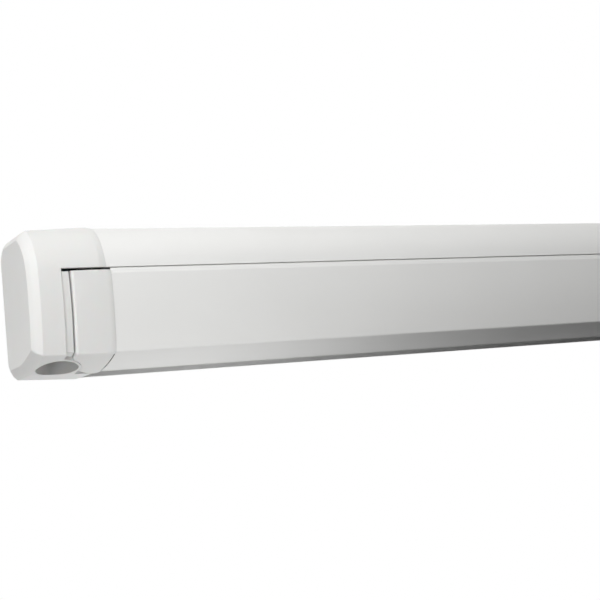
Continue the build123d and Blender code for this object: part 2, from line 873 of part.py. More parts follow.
def arm_fork(y, reach):
    """Two plates round a knuckle, joined away from the pivot, with the pin bore."""
    half = arm_height / 2
    slot = knuckle_height / 2 + knuckle_slack
    span = Pos(0, y + reach / 2) * Rectangle(2 * fork_radius, abs(reach))
    plan = Pos(0, y) * Circle(fork_radius) + span
    body = plate_of(plan, slot, half) + plate_of(plan, -half, -slot)
    return body


def shoulder_bracket():
    """Bracket on the back of the case that holds the shoulder pivot."""
    back = recess_depth + profile_wall
    fork = arm_place() * arm_fork(0, arm_forward - back)
    fork -= arm_place() * upright(0, 0, -arm_height, arm_height, arm_pin_radius)
    base = block(-arm_x - bracket_outboard, -arm_x + bracket_inboard, back, back + bracket_base,
                 arm_level - arm_height / 2, bracket_high)
    keep = block(-arm_x - bracket_outboard, -arm_x + bracket_outboard, back,
                 case_depth, 0, case_height)
    bracket = (fork + base) & keep
    for screw_x in bracket_bolt_places():
        bracket -= rod_y(-arm_x - screw_x, arm_level + knuckle_height / 2 + bracket_bolt_head,
                         back - overrun, back + bracket_base + overrun,
                         bracket_bolt_radius + pin_clearance)
    return bracket


def wrist_bracket():
    """Bracket on the lead rail that holds the wrist pivot."""
    reach = arm_forward + arm_step
    fork = arm_place() * arm_fork(-arm_step, -(rail_seat_forward - reach))
    fork -= arm_place() * upright(0, -arm_step, -arm_height, arm_height, arm_pin_radius)
    base = block(-arm_x - wrist_base_half, -arm_x + wrist_base_half,
                 rail_seat_forward - bracket_base, rail_seat_forward,
                 wrist_base_low, rail_rib_high)
    keep = block(-arm_x - bracket_outboard, -arm_x + bracket_outboard, 0,
                 rail_seat_forward, 0, case_height)
    bracket = (fork & keep) + base
    for screw_x in wrist_bolt_places():
        bracket -= rod_y(-arm_x + screw_x, wrist_bolt_height(), rail_seat_forward - overrun * 2,
                         rail_seat_forward + overrun, bracket_bolt_radius + pin_clearance)
    return bracket


def wrist_bolt_places():
    """Bolt positions of a wrist bracket, either side of the pivot."""
    reach = wrist_base_half - bracket_bolt_head - seat_gap
    return (-reach, reach)


def wrist_bolt_height():
    """Level of the wrist bracket bolts."""
    return (rail_rib_low + rail_rib_high) / 2


def shoulder_bolts():
    """Bolts that hold the shoulder brackets to the case."""
    back = recess_depth + profile_wall
    level = arm_level + knuckle_height / 2 + bracket_bolt_head
    bolts = []
    for screw_x in bracket_bolt_places():
        shank = rod_y(-arm_x - screw_x, level, recess_depth - profile_wall,
                      back + bracket_base, bracket_bolt_radius)
        head_a = back + bracket_base
        head = rod_y(-arm_x - screw_x, level, head_a, head_a + bracket_bolt_head_height,
                     bracket_bolt_head)
        bolts += [shank + head, twin(shank + head)]
    return Compound(bolts)


def wrist_bolts():
    """Bolts that hold the wrist brackets to the lead rail."""
    bolts = []
    for screw_x in wrist_bolt_places():
        seat = rail_seat_forward - bracket_base
        shank = rod_y(-arm_x + screw_x, wrist_bolt_height(), seat,
                      rail_seat_forward + rail_rib_wall, bracket_bolt_radius)
        head = rod_y(-arm_x + screw_x, wrist_bolt_height(), seat - bracket_bolt_head_height, seat,
                     bracket_bolt_head)
        bolts += [shank + head, twin(shank + head)]
    return Compound(bolts)


def shoulder_pins():
    """Pivot pins in the shoulder brackets."""
    left = arm_place() * pin(0, 0)
    return Compound([left, twin(left)])


def wrist_pins():
    """Pivot pins in the wrist brackets."""
    left = arm_place() * pin(0, -arm_step)
    return Compound([left, twin(left)])


def top_band():
    """What the slanted band along the top edge of the lead rail takes away."""
    lip_forward = lip_share[0] * case_depth
    low = rail_lip_top - rail_band_height
    points = [at(front_at(low, 0), low), at(lip_forward - rail_band_drop, rail_lip_top),
              at(lip_forward - rail_band_drop, rail_lip_top + overrun),
              at(case_depth + overrun, rail_lip_top + overrun), at(case_depth + overrun, low)]
    return make_face(Polyline(*points, close=True))


def lead_rail_profile():
    """Front and underside of the closed awning: one extrusion with bracket ribs and fabric channel."""
    band = skin(profile_wall) & patch(flange_forward, case_depth + overrun, -overrun, rail_lip_top)
    flange_height = flange_share[1] * case_height
    section = band + patch(flange_forward, flange_forward + flange_lip_wall, flange_height,
                           flange_height + flange_lip_height)
    inner = outline(profile_wall / 2)
    for rib in (rail_rib_low, rail_rib_high - rail_rib_wall):
        section += patch(rail_seat_forward, case_depth, rib, rib + rail_rib_wall) & inner
    section += patch(rail_seat_forward, rail_seat_forward + rail_rib_wall, rail_rib_low, rail_rib_high)
    for place in rail_boss_places():
        section += disc(*place, rail_boss_radius) & inner & patch(rail_seat_forward, case_depth, 0, rail_top)
        section -= disc(*place, cap_screw_radius)
    rib_forward = rail_floor_rib_forward
    section += patch(rib_forward, rib_forward + rail_rib_wall, 0, leg_pivot_height) & inner
    section += disc(keder_forward, keder_height, keder_channel_radius)
    section += patch(keder_forward, case_depth, keder_height - keder_slot,
                     keder_height + keder_slot) & inner
    section -= disc(keder_forward, keder_height, keder_bore_radius)
    section -= patch(keder_forward - 2 * keder_channel_radius, keder_forward,
                     keder_height - keder_slot / 2, keder_height + keder_slot / 2)
    rail = along(section - top_band(), -rail_end, rail_end)
    for side in (-1, 1):
        for screw_x in wrist_bolt_places():
            rail -= rod_y(side * (arm_x - screw_x), wrist_bolt_height(),
                          rail_seat_forward - overrun / 2, rail_seat_forward + rail_rib_wall
                          + seat_gap, bracket_bolt_radius)
    return rail


def rail_seals():
    """Soft strip along the top edge of the lead rail, and a strip in the seam at each end cap."""
    band = outline(profile_wall) - outline(profile_wall + rail_seal_width)
    band &= patch(crank_forward, case_depth, rail_top - rail_seal_grip, rail_top + rail_seal_rise)
    fill = outline(seam_strip_inset) - outline(profile_wall)
    strip = along(fill, -rail_end - seam_gap, -rail_end) & seam_room()
    strip &= lead_zone(-rail_cap_start, -rail_end, -flange_lip_wall)
    return Compound([along(band, -rail_end, rail_end), strip, twin(strip)])


def fabric_keder():
    """Round bead sewn to the front edge of the fabric, held in the rail channel."""
    return rod_x(-rail_end + fabric_margin, rail_end - fabric_margin, keder_forward,
                 keder_height, keder_radius)


def fabric_hem():
    """Front edge of the fabric, just behind the rail channel."""
    reach = roller_half - fabric_margin
    return block(-reach, reach, hem_forward - hem_length, hem_forward,
                 keder_height - hem_height / 2, keder_height + hem_height / 2)


def leave_point():
    """Where the fabric leaves the roll: forward and height of the tangent point."""
    forward = hem_forward - hem_length - roller_forward
    height = keder_height - roller_height
    distance = math.hypot(forward, height)
    swing = math.atan2(height, forward) - math.acos((roll_radius + fabric_thickness) / distance)
    reach = roll_radius + fabric_thickness
    return (roller_forward + reach * math.cos(swing), roller_height + reach * math.sin(swing))


def fabric_span():
    """Fabric between the roll and its front hem."""
    reach = roller_half - fabric_margin
    start = at(*leave_point())
    end = at(hem_forward - hem_length - span_overlap, keder_height)
    length = math.hypot(end[0] - start[0], end[1] - start[1])
    slope = math.degrees(math.atan2(end[1] - start[1], end[0] - start[0]))
    strip = Rectangle(length, fabric_thickness)
    middle = ((start[0] + end[0]) / 2, (start[1] + end[1]) / 2)
    return along(Pos(*middle) * Rot(0, 0, slope) * strip, -reach, reach)


def rail_boss_places():
    """Screw bosses in the lead rail, beside its two ribs."""
    low = rail_rib_low + rail_rib_wall + rail_boss_rise
    high = rail_rib_high - rail_rib_wall - rail_boss_rise
    forward = front_at(low, cap_wall) - rail_screw_head - seat_gap
    return ((forward, low), (forward, high))


def rail_cap_screws():
    """Screws that hold the rail end caps to the bosses of the rail."""
    screws = []
    start = -rail_end - rail_cap_flange
    for place in rail_boss_places():
        shank = rod_x(start, start + cap_screw_length, *place, cap_screw_radius)
        head = rod_x(start - cap_screw_head_height, start, *place, rail_screw_head)
        screws += [shank + head, twin(shank + head)]
    return Compound(screws)


def wall_bracket(side):
    """Bracket that is bolted to the wall and hooks the case."""
    middle = side * wall_bracket_span / 2
    left = middle - bracket_length / 2
    right = middle + bracket_length / 2
    hook_front = recess_depth - running_gap
    hook_back = hook_rib_forward + profile_wall + running_gap
    floor = recess_high - hook_rib_drop
    plate = block(left, right, 0, bracket_plate, recess_low, floor)
    plate += block(left, right, 0, hook_front, floor - bracket_hook, floor)
    plate += block(left, right, hook_back, hook_front, floor, floor + bracket_hook_rise)
    tab_low = recess_low
    plate += block(left, right, 0, hook_front, tab_low, tab_low + bracket_tab)
    for spread in (-wall_bolt_spread / 2, wall_bolt_spread / 2):
        plate -= rod_y(middle, bolt_height + spread, -overrun, bracket_plate + overrun,
                       wall_bolt_radius)
    return plate - rod_z(middle, lock_screw_forward, tab_low - overrun,
                         tab_low + bracket_tab + overrun, lock_screw_radius)


def lock_screws():
    """Screws from below that lock the case to the wall brackets."""
    screws = []
    for side in (-1, 1):
        x = side * wall_bracket_span / 2
        low = recess_low - profile_wall
        shank = rod_z(x, lock_screw_forward, low, recess_low + bracket_tab, lock_screw_radius)
        head = rod_z(x, lock_screw_forward, low - lock_screw_head_height, low, lock_screw_head)
        screws.append(shank + head)
    return Compound(screws)


def leg_width():
    """Outer width of the leg's outer tube, inside its clamp collar."""
    return leg_tube_width - 2 * collar_wall - 2 * seat_gap


def inner_leg_width():
    """Outer width of the tube that slides in the leg."""
    return leg_width() - 2 * leg_tube_wall - 2 * leg_slide_gap


def leg_box(x_a, x_b, lane, width, height, level):
    """A square bar of a leg along X."""
    return block(x_a, x_b, lane - width / 2, lane + width / 2, level - height / 2, level + height / 2)


def leg_bracket(lane):
    """Folded steel bracket on the lead rail that carries a leg pivot."""
    foot_start = flange_forward + flange_lip_wall
    left = -leg_x - leg_bracket_half
    right = -leg_x + leg_cheek_radius
    plate = block(left, right, lane - leg_tube_width / 2, foot_start + leg_bracket_foot_length,
                  leg_plate_height, leg_plate_height + leg_plate)
    cheeks = []
    for side in (-1, 1):
        outer = lane + side * leg_tube_width / 2
        inner = outer - side * leg_cheek
        cheek = rod_y(-leg_x, leg_pivot_height, inner, outer, leg_cheek_radius)
        cheek += block(-leg_x - leg_cheek_radius, -leg_x + leg_cheek_radius, inner, outer,
                       leg_pivot_height, leg_plate_height)
        cheeks.append(cheek)
    foot = block(left, right, foot_start, foot_start + leg_bracket_foot_length, 0,
                 leg_plate_height)
    room = outline(profile_wall)
    foot &= along(room, left - overrun, right + overrun)
    body = plate + cheeks[0] + cheeks[1] + foot
    return body - rod_y(-leg_x, leg_pivot_height, 0, foot_start, leg_pin_radius)


def leg_pins():
    """Pivot pins of both legs."""
    pins = []
    for side, lane in ((-1, leg_front_lane), (1, leg_rear_lane)):
        half = leg_tube_width / 2
        pins.append(rod_y(side * leg_x, leg_pivot_height, lane - half, lane + half, leg_pin_radius))
    return Compound(pins)


def leg_knuckle(lane):
    """Casting at the top of a leg, with the bore for its pivot pin."""
    body = rod_y(-leg_x, leg_pivot_height, lane - leg_knuckle_width / 2,
                 lane + leg_knuckle_width / 2, leg_knuckle_radius)
    tube_start = -leg_x + leg_knuckle_setback
    body += leg_box(-leg_x, tube_start, lane, leg_knuckle_width, 2 * leg_knuckle_radius - leg_cheek,
                    leg_pivot_height)
    inset = 2 * leg_tube_wall + 2 * seat_gap
    body += leg_box(tube_start, tube_start + socket_depth, lane, leg_width() - inset,
                    leg_tube_height - inset, leg_pivot_height)
    return body - rod_y(-leg_x, leg_pivot_height, 0, case_depth, leg_pin_radius + pin_clearance)


def leg_tube_end():
    """Where the outer tube of the left leg ends."""
    return -leg_x + leg_knuckle_setback + leg_tube_length


def leg_outer_tube(lane):
    """Outer tube of a leg."""
    start = -leg_x + leg_knuckle_setback
    tube = leg_box(start, leg_tube_end(), lane, leg_width(), leg_tube_height, leg_pivot_height)
    return tube - leg_box(start - overrun, leg_tube_end() + overrun, lane,
                          leg_width() - 2 * leg_tube_wall,
                          leg_tube_height - 2 * leg_tube_wall, leg_pivot_height)


def leg_inner_tube(lane):
    """Inner tube of a leg with the ears of the foot pivot."""
    width = inner_leg_width()
    height = leg_tube_height - 2 * leg_tube_wall - 2 * leg_slide_gap
    end = leg_tube_end() + leg_inner_out
    tube = leg_box(leg_tube_end() - leg_inner_inside + collar_length, end, lane, width, height,
                   leg_pivot_height)
    tube -= leg_box(leg_tube_end() - leg_inner_inside + collar_length - overrun, end - foot_radius,
                    lane, width - 2 * leg_inner_wall, height - 2 * leg_inner_wall, leg_pivot_height)
    pivot = end + foot_pivot_out
    ears = rod_y(pivot, leg_pivot_height, lane - width / 2, lane + width / 2, foot_radius)
    ears += leg_box(end, pivot, lane, width, 2 * foot_radius, leg_pivot_height)
    room = width - 2 * foot_fork_width
    ears -= leg_box(end + foot_radius / 2, pivot + 2 * foot_radius, lane, room, height,
                    leg_pivot_height)
    ears -= rod_y(pivot, leg_pivot_height, 0, case_depth, foot_pin_radius + pin_clearance)
    return tube + ears


def leg_collar(lane):
    """Clamp collar on the end of the outer tube."""
    start = leg_tube_end() - collar_grip
    end = start + collar_length
    body = leg_box(start, end, lane, leg_tube_width, leg_tube_height + 2 * collar_wall,
                   leg_pivot_height)
    body -= leg_box(start - overrun, leg_tube_end() + seat_gap, lane, leg_width(), leg_tube_height,
                    leg_pivot_height)
    inner_width = leg_width() - 2 * leg_tube_wall
    body -= leg_box(start - overrun, end + overrun, lane, inner_width,
                    leg_tube_height - 2 * leg_tube_wall, leg_pivot_height)
    low = leg_pivot_height - leg_tube_height / 2 - collar_wall
    for side in (-1, 1):
        outer = lane + side * leg_tube_width / 2
        body += block(end - collar_ear_length, end, outer, outer - side * collar_ear_width,
                      low - collar_ear_height, low)
    pin_level = low - collar_ear_height / 2
    return body - rod_y(end - collar_ear_length / 2, pin_level, 0, case_depth,
                        lever_pin_radius)


def leg_lever(lane):
    """Cam lever under the collar, with its pin."""
    end = leg_tube_end() - collar_grip + collar_length - collar_ear_length / 2
    low = leg_pivot_height - leg_tube_height / 2 - collar_wall
    level = low - collar_ear_height / 2
    width = leg_tube_width - 2 * collar_ear_width - 2 * running_gap
    body = rod_y(end, level, lane - width / 2, lane + width / 2, lever_thickness / 2)
    body += leg_box(end - lever_length, end, lane, width, lever_thickness, level)
    return body + rod_y(end, level, lane - leg_tube_width / 2, lane + leg_tube_width / 2,
                        lever_pin_radius - pin_clearance)


def leg_foot(lane):
    """Foot that folds out flat at the bottom of a leg, with two peg holes and its pin."""
    pivot = leg_tube_end() + leg_inner_out + foot_pivot_out
    width = inner_leg_width()
    tongue = width - 2 * foot_fork_width - 2 * running_gap
    body = rod_y(pivot, leg_pivot_height, lane - tongue / 2, lane + tongue / 2, foot_radius)
    neck_end = pivot + foot_radius + foot_thickness
    body += leg_box(pivot, neck_end, lane, tongue, 2 * foot_thickness, leg_pivot_height)
    sole_end = neck_end + foot_length
    body += leg_box(neck_end - foot_thickness / 2, sole_end, lane, leg_tube_width - 2 * collar_wall,
                    foot_thickness, leg_pivot_height)
    for number in range(2):
        hole_x = neck_end + foot_hole_inset + number * foot_hole_spacing
        body -= rod_z(hole_x, lane, 0, case_height, foot_hole_radius)
    return body + rod_y(pivot, leg_pivot_height, lane - width / 2, lane + width / 2, foot_pin_radius)


def left_and_right(name, shape):
    """Write a piece and its mirror image under left and right names."""
    save("left_" + name, shape)
    save("right_" + name, twin(shape))


def save(name, shape):
    """Write one piece."""
    export_step(shape, os.path.join("parts", name + ".step"))


def write_case():
    """Everything that stays on the wall."""
    save("case_profile", case_profile())
    save("wall_seal", wall_seal())
    left_and_right("case_end_cap", case_end_cap())
    plate = bearing_plate()
    save("bearing_plates", Compound([plate, twin(plate)]))
    save("bearing_plate_screws", cap_screws())
    save("roller_bushes", roller_bushes())
    save("gear_housing", gear_housing())
    bracket = shoulder_bracket()
    save("shoulder_brackets", Compound([bracket, twin(bracket)]))
    save("shoulder_bolts", shoulder_bolts())
    save("shoulder_pins", shoulder_pins())
    save("wall_brackets", Compound([wall_bracket(-1), wall_bracket(1)]))
    save("lock_screws", lock_screws())


def write_roller():
    """The roller, the fabric on it and the crank gear."""
    save("roller_tube", roller_tube())
    save("roller_plugs", Compound([roller_plug(), right_plug()]))
    save("worm_wheel", worm_wheel())
    save("fabric_roll", fabric_roll())
    save("worm_shaft", worm_shaft())
    save("crank_eye", crank_eye())
    save("fabric_span", fabric_span())
    save("fabric_hem", fabric_hem())
    save("fabric_keder", fabric_keder())


def write_arms():
    """Both folding arms."""
    left_and_right("upper_arm_tube", arm_place() * upper_arm_tube())
    left_and_right("shoulder_knuckle", arm_place() * arm_knuckle(0))
    left_and_right("elbow_fork", arm_place() * elbow_fork())
    left_and_right("elbow_pin", arm_place() * pin(elbow_x(), -arm_offset))
    left_and_right("arm_spring", arm_place() * arm_spring())
    left_and_right("forearm_tube", arm_place() * forearm_tube())
    left_and_right("elbow_tongue", arm_place() * elbow_tongue())
    left_and_right("wrist_knuckle", arm_place() * arm_knuckle(-arm_step))


def write_rail():
    """The lead rail and what is fixed to it."""
    save("lead_rail_profile", lead_rail_profile())
    left_and_right("rail_end_cap", rail_end_cap())
    save("rail_cap_screws", rail_cap_screws())
    save("rail_seal", rail_seals())
    bracket = wrist_bracket()
    save("wrist_brackets", Compound([bracket, twin(bracket)]))
    save("wrist_bolts", wrist_bolts())
    save("wrist_pins", wrist_pins())
    brackets = [leg_bracket(leg_front_lane), twin(leg_bracket(leg_rear_lane))]
    save("leg_brackets", Compound(brackets))
    save("leg_pins", leg_pins())


def write_legs():
    """The two support legs, each in its own lane."""
    pieces = (("leg_knuckle", leg_knuckle), ("leg_outer_tube", leg_outer_tube),
              ("leg_inner_tube", leg_inner_tube), ("leg_collar", leg_collar),
              ("leg_lever", leg_lever), ("leg_foot", leg_foot))
    for name, make in pieces:
        save("left_" + name, make(leg_front_lane))
        save("right_" + name, twin(make(leg_rear_lane)))


os.makedirs("parts", exist_ok=True)
write_case()
write_roller()
write_arms()
write_rail()
write_legs()
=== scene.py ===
import json
import math

import bmesh
import bpy
from mathutils import Matrix, Vector


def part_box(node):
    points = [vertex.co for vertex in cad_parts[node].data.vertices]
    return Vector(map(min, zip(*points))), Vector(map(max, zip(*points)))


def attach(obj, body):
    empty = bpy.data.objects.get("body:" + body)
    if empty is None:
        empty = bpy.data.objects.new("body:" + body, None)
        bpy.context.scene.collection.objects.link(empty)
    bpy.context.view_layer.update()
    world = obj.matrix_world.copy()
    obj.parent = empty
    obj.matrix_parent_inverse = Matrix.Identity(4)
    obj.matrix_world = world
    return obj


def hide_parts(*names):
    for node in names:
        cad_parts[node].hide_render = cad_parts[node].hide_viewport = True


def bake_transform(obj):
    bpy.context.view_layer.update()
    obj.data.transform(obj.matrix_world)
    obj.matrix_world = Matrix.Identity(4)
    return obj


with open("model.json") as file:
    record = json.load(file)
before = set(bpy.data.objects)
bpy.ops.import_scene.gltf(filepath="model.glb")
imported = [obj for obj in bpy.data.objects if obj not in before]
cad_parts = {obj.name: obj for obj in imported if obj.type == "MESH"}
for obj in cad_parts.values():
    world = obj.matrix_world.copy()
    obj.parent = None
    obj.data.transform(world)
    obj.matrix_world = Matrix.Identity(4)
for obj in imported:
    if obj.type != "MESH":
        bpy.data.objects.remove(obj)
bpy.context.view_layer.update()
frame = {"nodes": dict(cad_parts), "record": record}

mm = 0.001
white = (1.0, 1.0, 1.0)

# Camera, as the photograph was taken: at the left end, in front of the awning and a little below it
camera_place = Vector((-1.2230, -1.0637, -0.1283))
camera_right = Vector((0.87994, -0.46451, -0.09968))
camera_up = Vector((0.03867, -0.13907, 0.98953))
camera_lens = 72.0
camera_sensor = 36.0

# Light: each lamp's name, place, target, size and power
sky_from_above = 0.40
sky_from_below = 0.0
sky_turn = (-0.05, 0.60)
lamps = (
    ("far_lamp", (-2.60, -2.90, 2.60), (-0.80, -0.05, 0.0), 2.0, 56.0),
    ("near_lamp", (-1.15, -0.85, 0.45), (-0.80, -0.05, 0.0), 0.6, 5.2),
    ("side_lamp", (-2.20, -0.20, 0.10), (-0.80, -0.05, 0.0), 0.8, 3.0),
    ("low_lamp", (-0.82, -0.12, -0.36), (-0.82, -0.06, -0.06), 0.18, 0.70),
    ("low_side_lamp", (-1.60, -0.20, -0.40), (-0.92, -0.06, -0.06), 0.3, 1.5),
    ("back_lamp", (0.40, 1.60, 0.50), (0.0, 0.0, 0.0), 1.2, 14.0),
)

# Floor
floor_level = -1.80
floor_radius = 6.0
floor_sides = 96
floor_glow = 0.55
floor_tones = ((0.80, 0.80, 0.80), (0.83, 0.83, 0.83))
floor_cloud = 0.4
floor_cloud_detail = 4.0
floor_roughness = 0.9

# Fabric
cloth_thickness = 0.44 * mm
turn_pitch = 0.5 * mm
steps_per_turn = 72
wrap_degrees = 110.0
wrap_steps = 22
free_steps = 48
wrap_gap = 0.05 * mm
hem_round = 0.35 * mm
hem_round_steps = 3
hem_round_profile = 0.5

# Look of the fabric
thread_pitch = 0.55 * mm
thread_tone = (0.33, 0.345, 0.36)
thread_share = 0.3
cloth_tones = ((0.235, 0.25, 0.265), (0.265, 0.28, 0.295))
cloth_patch = 30 * mm
cloth_patch_detail = 3.0
cloth_roughness = (0.62, 0.74)
cloth_relief = 0.08 * mm
cloth_relief_strength = 0.6
cloth_sheen = 0.12
side_hem_width = 14.0 * mm
side_hem_tone = (0.15, 0.16, 0.17)
side_hem_share = 0.35
stitch_inset = 2 * mm
stitch_half_width = 0.4 * mm
stitch_length = 3.2 * mm
stitch_level = -0.3
stitch_tone = (0.55, 0.56, 0.57)

# Shared effects of the hard surfaces
soft_range = (0.3, 0.7)
grain_detail = 3.0
drift_scale = 12.0
drift_detail = 2.0
edge_samples = 4
wear_range = (0.995, 0.90)
wear_patch = 6 * mm
wear_detail = 4.0
wear_broken = (0.48, 0.62)
dust_slope = (0.35, 0.95)
dust_patch = 45 * mm
dust_detail = 5.0
dust_cover = (0.35, 0.75, 0.35, 1.0)
dust_tone = (0.46, 0.43, 0.38)
subsurface_scale = 2 * mm
plain_specular = 0.5

# Drawn lines of the bare aluminium
drawn_pitch = 0.5 * mm
drawn_stretch = 0.02
drawn_detail = 2.0
drawn_tone = (0.42, 0.43, 0.44)
drawn_share = 0.25
drawn_depth = 0.004 * mm
drawn_strength = 0.5
drawn_dust = 0.08

# Smooth shading of the moulded caps
cap_smooth_angle = math.radians(25)
weld_distance = 0.002 * mm

# Hard surfaces by slot: material name, colour and its drift, roughness range, grain size and depth, edge
# radius, and where a surface has them its worn colour, dust, metal, specular level and subsurface weight
hard_looks = {
    # Satin white powder coat on the extruded case and lead rail
    "white_coated_profile": dict(
        name="white_powder_coat", main=(0.86, 0.86, 0.845), drift=(0.845, 0.845, 0.83),
        roughness=(0.40, 0.46), grain=0.9 * mm, depth=0.006 * mm, edge=0.5 * mm,
        dust=0.10, specular=0.18),
    # The same coat on the arm tubes, a little rubbed at the edges
    "white_arm_tube": dict(
        name="white_arm_coat", main=(0.84, 0.84, 0.825), drift=(0.81, 0.81, 0.795),
        roughness=(0.38, 0.46), grain=0.9 * mm, depth=0.008 * mm, edge=0.8 * mm,
        worn=(0.62, 0.62, 0.61), dust=0.10),
    # White moulded end caps with a fine moulded grain
    "white_cap_plastic": dict(
        name="white_moulding", main=(0.78, 0.78, 0.765), drift=(0.765, 0.765, 0.75),
        roughness=(0.38, 0.45), grain=0.35 * mm, depth=0.004 * mm, edge=0.7 * mm,
        dust=0.08, specular=0.25, subsurface=0.06),
    # Matt black rubber of the seals, a little bloomed
    "grey_seal_rubber": dict(
        name="seal_rubber", main=(0.035, 0.035, 0.036), drift=(0.06, 0.06, 0.062),
        roughness=(0.68, 0.82), grain=0.5 * mm, depth=0.01 * mm, edge=0.4 * mm, dust=0.3),
    # Light grey paint over die-cast alloy
    "cast_alloy": dict(
        name="painted_casting", main=(0.52, 0.53, 0.535), drift=(0.47, 0.48, 0.485),
        roughness=(0.38, 0.52), grain=0.8 * mm, depth=0.03 * mm, edge=0.8 * mm,
        worn=(0.70, 0.70, 0.71), dust=0.15),
    # Zinc plated screws and small brackets
    "zinc_steel": dict(
        name="zinc_plating", main=(0.58, 0.59, 0.62), drift=(0.66, 0.65, 0.60),
        roughness=(0.28, 0.42), grain=1.5 * mm, depth=0.004 * mm, edge=0.3 * mm,
        dust=0.1, metallic=1.0),
    # Ground stainless pins and shafts
    "bright_steel": dict(
        name="ground_steel", main=(0.60, 0.60, 0.60), drift=(0.55, 0.55, 0.56),
        roughness=(0.18, 0.30), grain=0.6 * mm, depth=0.002 * mm, edge=0.3 * mm, metallic=1.0),
    # Natural nylon of the bushes, plugs and wheel
    "bush_plastic": dict(
        name="natural_nylon", main=(0.70, 0.68, 0.61), drift=(0.66, 0.64, 0.57),
        roughness=(0.42, 0.55), grain=0.5 * mm, depth=0.006 * mm, edge=0.3 * mm, subsurface=0.15),
    # Black glass-filled housing of the gear
    "housing_plastic": dict(
        name="gear_housing_plastic", main=(0.03, 0.03, 0.032), drift=(0.045, 0.045, 0.047),
        roughness=(0.48, 0.62), grain=0.4 * mm, depth=0.02 * mm, edge=0.6 * mm,
        worn=(0.12, 0.12, 0.12), dust=0.2),
    # Black nylon of the crank eye, rubbed by the hook
    "crank_eye_plastic": dict(
        name="crank_eye_nylon", main=(0.05, 0.05, 0.052), drift=(0.07, 0.07, 0.072),
        roughness=(0.35, 0.5), grain=0.4 * mm, depth=0.008 * mm, edge=0.5 * mm,
        worn=(0.22, 0.22, 0.22)),
    # Dull galvanised tube of the roller
    "galvanised_roller": dict(
        name="galvanised_tube", main=(0.50, 0.52, 0.53), drift=(0.60, 0.61, 0.61),
        roughness=(0.34, 0.5), grain=7 * mm, depth=0.003 * mm, edge=0.3 * mm, metallic=1.0),
    # Grey glass-filled nylon of the leg fittings
    "leg_moulding": dict(
        name="grey_nylon", main=(0.17, 0.175, 0.18), drift=(0.20, 0.205, 0.21),
        roughness=(0.5, 0.62), grain=0.4 * mm, depth=0.02 * mm, edge=0.8 * mm,
        worn=(0.36, 0.36, 0.36), dust=0.15),
    # White bead that holds the fabric in the lead rail
    "keder_cord": dict(
        name="keder_bead", main=(0.66, 0.66, 0.63), drift=(0.60, 0.60, 0.57),
        roughness=(0.5, 0.6), grain=0.4 * mm, depth=0.01 * mm, edge=0.3 * mm),
}

# Bare aluminium with drawn lines, by slot
drawn_looks = {
    # Clear anodised leg tubes
    "anodised_leg": dict(
        name="anodised_tube", main=(0.68, 0.69, 0.70), drift=(0.63, 0.64, 0.65), roughness=(0.30, 0.38)),
    # Mill-finish wall brackets
    "bracket_alloy": dict(
        name="mill_finish", main=(0.62, 0.63, 0.64), drift=(0.54, 0.55, 0.56), roughness=(0.34, 0.5)),
}


def feed(tree, socket, value):
    """Links a socket to another one, or sets its own value."""
    if isinstance(value, bpy.types.NodeSocket):
        tree.links.new(value, socket)
    else:
        socket.default_value = value


def node(tree, kind, inputs=(), **settings):
    """A shader node with its settings and inputs."""
    made = tree.nodes.new("ShaderNode" + kind)
    for key, value in settings.items():
        setattr(made, key, value)
    for key, value in dict(inputs).items():
        feed(tree, made.inputs[key], value)
    return made


def calc(tree, operation, first, second=0.0):
    """One sum of two numbers."""
    return node(tree, "Math", {0: first, 1: second}, operation=operation).outputs[0]


def ramp(tree, value, low, high, start=0.0, end=1.0):
    """A number moved from one range to another, held at its ends."""
    inputs = {0: value, 1: low, 2: high, 3: start, 4: end}
    return node(tree, "MapRange", inputs, clamp=True).outputs[0]


def tint(tree, factor, first, second):
    """A mix of two colours."""
    return node(tree, "Mix", {0: factor, 6: first, 7: second}, data_type="RGBA").outputs[2]


def shading_noise(tree, position, scale, detail):
    """Noise at a scale per metre."""
    return node(tree, "TexNoise", {"Vector": position, "Scale": scale, "Detail": detail}).outputs[0]


def patches(tree, position, size, detail):
    """Noise with lumps of about the given size, in metres."""
    return shading_noise(tree, position, 1.0 / size, detail)


def object_position(tree):
    """Position on the piece, in metres."""
    return node(tree, "TexCoord").outputs["Object"]


def colour(tone):
    """A red, green and blue tone with full cover."""
    return (*tone, 1.0)


def new_group(name, inputs, outputs):
    """A shader node group: its tree, its inputs and its outputs."""
    tree = bpy.data.node_groups.new(name, "ShaderNodeTree")
    for label, kind in inputs:
        tree.interface.new_socket(label, in_out="INPUT", socket_type="NodeSocket" + kind)
    for label, kind in outputs:
        tree.interface.new_socket(label, in_out="OUTPUT", socket_type="NodeSocket" + kind)
    return tree, tree.nodes.new("NodeGroupInput").outputs, tree.nodes.new("NodeGroupOutput").inputs


def placed(tree, group, **inputs):
    """A group put into a material, with its own values."""
    made = tree.nodes.new("ShaderNodeGroup")
    made.node_tree = group
    for key, value in inputs.items():
        feed(tree, made.inputs[key], value)
    return made.outputs


def grain_group():
    """Fine surface grain at the given scale, and a slow drift in tone."""
    tree, given, handed = new_group("surface_grain", [("Fine", "Float")],
                                    [("Height", "Float"), ("Drift", "Float")])
    position = object_position(tree)
    feed(tree, handed["Height"], shading_noise(tree, position, given["Fine"], grain_detail))
    slow = shading_noise(tree, position, drift_scale, drift_detail)
    feed(tree, handed["Drift"], ramp(tree, slow, *soft_range))
    return tree


